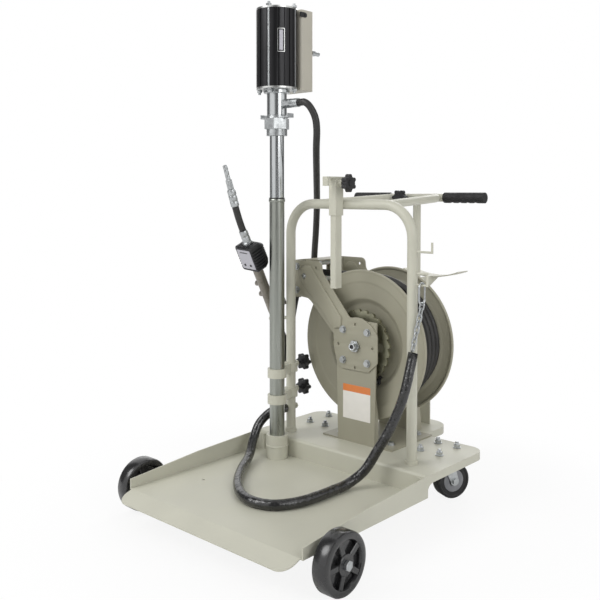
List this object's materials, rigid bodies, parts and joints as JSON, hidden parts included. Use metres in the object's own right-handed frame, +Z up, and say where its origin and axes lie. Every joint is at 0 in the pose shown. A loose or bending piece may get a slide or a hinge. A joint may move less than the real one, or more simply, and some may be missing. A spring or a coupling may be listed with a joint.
{
  "type": "air-operated oil pump cart",
  "caption": "Wheeled drum cart with a tray, hoop frame and push handle, air-operated drum pump, spring hose reel with roller guide, and metered oil gun.",
  "frame": {"origin": "on the floor, at the middle of the footprint", "axes": "+Z up, -Y towards the front lip of the tray, +X towards the right side"},
  "size_m": [0.7486, 1.048, 1.396],
  "materials": {
    "painted_steel": "satin light grey-green paint",
    "reel_paint": "satin olive-grey paint",
    "cover_paint": "satin beige-grey paint",
    "zinc_steel": "zinc plated",
    "bright_steel": "polished",
    "cap_aluminium": "machined",
    "cylinder_black": "black anodised",
    "gun_casting": "cast",
    "wheel_black": "moulded",
    "caster_black": "black tread on a grey core",
    "knob_black": "moulded",
    "grip_rubber": "matt",
    "hose_rubber": "black",
    "roller_white": "white"
  },
  "bodies": {
    "cart": {"tray": "painted_steel", "axle_mounts": "zinc_steel", "caster_plates": "zinc_steel", "hoop_frame": "painted_steel", "handle_loop": "painted_steel", "hand_grips": "grip_rubber", "rear_post": "painted_steel", "hose_saddle": "painted_steel", "clamp_sleeve": "painted_steel", "pump_cup": "painted_steel", "lower_tube": "zinc_steel", "suction_tube": "bright_steel", "bung_adaptor": "zinc_steel", "pump_neck": "bright_steel", "motor_cylinder": "cylinder_black", "motor_caps": "cap_aluminium", "motor_tie_rods": "zinc_steel", "valve_cover": "cover_paint", "air_inlet": "zinc_steel", "outlet_elbow": "zinc_steel", "pump_clamps": "painted_steel", "gun_holder": "painted_steel", "gun_body": "gun_casting", "meter_body": "knob_black", "gun_nozzle": "zinc_steel", "reel_stand": "reel_paint", "guide_arm_front": "reel_paint", "guide_arm_rear": "reel_paint", "guide_bridge": "reel_paint", "reel_shaft": "zinc_steel", "reel_swivel": "zinc_steel", "reel_fasteners": "zinc_steel", "lead_hose": "hose_rubber", "pump_hose": "hose_rubber", "reel_hose": "hose_rubber", "chain_sleeve": "hose_rubber", "drum_chain": "zinc_steel", "carabiner": "zinc_steel"},
    "front_wheel_left": {"front_wheel_left": "wheel_black"},
    "front_wheel_right": {"front_wheel_right": "wheel_black"},
    "caster_fork_left": {"caster_fork_left": "zinc_steel"},
    "caster_fork_right": {"caster_fork_right": "zinc_steel"},
    "caster_wheel_left": {"caster_wheel_left": "caster_black"},
    "caster_wheel_right": {"caster_wheel_right": "caster_black"},
    "reel": {"reel_spool": "reel_paint", "ratchet_gear": "zinc_steel", "wound_hose": "hose_rubber"},
    "reel_pawl": {"reel_pawl": "knob_black"},
    "roller_top": {"roller_top": "roller_white"},
    "roller_bottom": {"roller_bottom": "roller_white"},
    "roller_front": {"roller_front": "roller_white"},
    "roller_rear": {"roller_rear": "roller_white"},
    "clamp_bar": {"clamp_bar": "painted_steel"},
    "clamp_knob": {"clamp_knob": "knob_black"},
    "pump_knob_upper": {"pump_knob_upper": "knob_black"},
    "pump_knob_lower": {"pump_knob_lower": "knob_black"},
    "handle_knob": {"handle_knob": "knob_black"},
    "gun_trigger": {"gun_trigger": "gun_casting"},
    "pump_piston": {"pump_piston": "zinc_steel"},
    "carabiner_gate": {"carabiner_gate": "zinc_steel"}
  },
  "joints": [
    {"name": "front_wheel_left_spin", "type": "hinge", "parent": "cart", "child": "front_wheel_left", "pos_m": [-0.346, -0.405, 0.07], "axis": [1, 0, 0], "continuous": true},
    {"name": "caster_left_swivel", "type": "hinge", "parent": "cart", "child": "caster_fork_left", "pos_m": [-0.206, 0.2, 0.1], "axis": [0, 0, 1], "continuous": true},
    {"name": "caster_left_spin", "type": "hinge", "parent": "caster_fork_left", "child": "caster_wheel_left", "pos_m": [-0.1891, 0.23625, 0.05], "axis": [0.9063, -0.4226, 0], "continuous": true},
    {"name": "front_wheel_right_spin", "type": "hinge", "parent": "cart", "child": "front_wheel_right", "pos_m": [0.346, -0.405, 0.07], "axis": [1, 0, 0], "continuous": true},
    {"name": "caster_right_swivel", "type": "hinge", "parent": "cart", "child": "caster_fork_right", "pos_m": [0.206, 0.2, 0.1], "axis": [0, 0, 1], "continuous": true},
    {"name": "caster_right_spin", "type": "hinge", "parent": "caster_fork_right", "child": "caster_wheel_right", "pos_m": [0.2229, 0.23625, 0.05], "axis": [0.9063, -0.4226, 0], "continuous": true},
    {"name": "reel_spin", "type": "hinge", "parent": "cart", "child": "reel", "pos_m": [0, 0.189, 0.42], "axis": [0, 1, 0], "continuous": true},
    {"name": "pawl_pivot", "type": "hinge", "parent": "cart", "child": "reel_pawl", "pos_m": [0.06, 0.11, 0.322], "axis": [0, 1, 0], "range_deg": [0, 25], "stiffness_Nm_per_rad": 0.05, "springref_deg": -11.46},
    {"name": "roller_top_spin", "type": "hinge", "parent": "cart", "child": "roller_top", "pos_m": [-0.218, 0.189, 0.641], "axis": [0, 1, 0], "continuous": true},
    {"name": "roller_bottom_spin", "type": "hinge", "parent": "cart", "child": "roller_bottom", "pos_m": [-0.218, 0.189, 0.588], "axis": [0, 1, 0], "continuous": true},
    {"name": "roller_front_spin", "type": "hinge", "parent": "cart", "child": "roller_front", "pos_m": [-0.194, 0.147, 0.615], "axis": [0, 0, 1], "continuous": true},
    {"name": "roller_rear_spin", "type": "hinge", "parent": "cart", "child": "roller_rear", "pos_m": [-0.194, 0.231, 0.615], "axis": [0, 0, 1], "continuous": true},
    {"name": "clamp_slide", "type": "slide", "parent": "cart", "child": "clamp_bar", "axis": [0, 0, 1], "range_m": [0, 0.18]},
    {"name": "clamp_knob_turn", "type": "hinge", "parent": "cart", "child": "clamp_knob", "pos_m": [0.02, 0.0175, 0.885], "axis": [1, 0, 0], "range_deg": [-360, 360]},
    {"name": "handle_knob_turn", "type": "hinge", "parent": "cart", "child": "handle_knob", "pos_m": [-0.042, 0.36, 0.843], "axis": [0, 1, 0], "range_deg": [-360, 360]},
    {"name": "pump_knob_lower_turn", "type": "hinge", "parent": "cart", "child": "pump_knob_lower", "pos_m": [-0.219, 0.1, 0.266], "axis": [0, 1, 0], "range_deg": [-360, 360]},
    {"name": "pump_knob_upper_turn", "type": "hinge", "parent": "cart", "child": "pump_knob_upper", "pos_m": [-0.219, 0.1, 0.342], "axis": [0, 1, 0], "range_deg": [-360, 360]},
    {"name": "trigger_pivot", "type": "hinge", "parent": "cart", "child": "gun_trigger", "pos_m": [-0.263, 0.02244, 0.5591], "axis": [-1, 0, 0], "range_deg": [0, 9], "stiffness_Nm_per_rad": 1.5, "springref_deg": -8.59},
    {"name": "piston_stroke", "type": "slide", "parent": "cart", "child": "pump_piston", "axis": [0, 0, 1], "range_m": [0, 0.076]},
    {"name": "gate_pivot", "type": "hinge", "parent": "cart", "child": "carabiner_gate", "pos_m": [0.249, 0.061, 0.5825], "axis": [1, 0, 0], "range_deg": [0, 20], "stiffness_Nm_per_rad": 0.05, "springref_deg": -11.46}
  ]
}
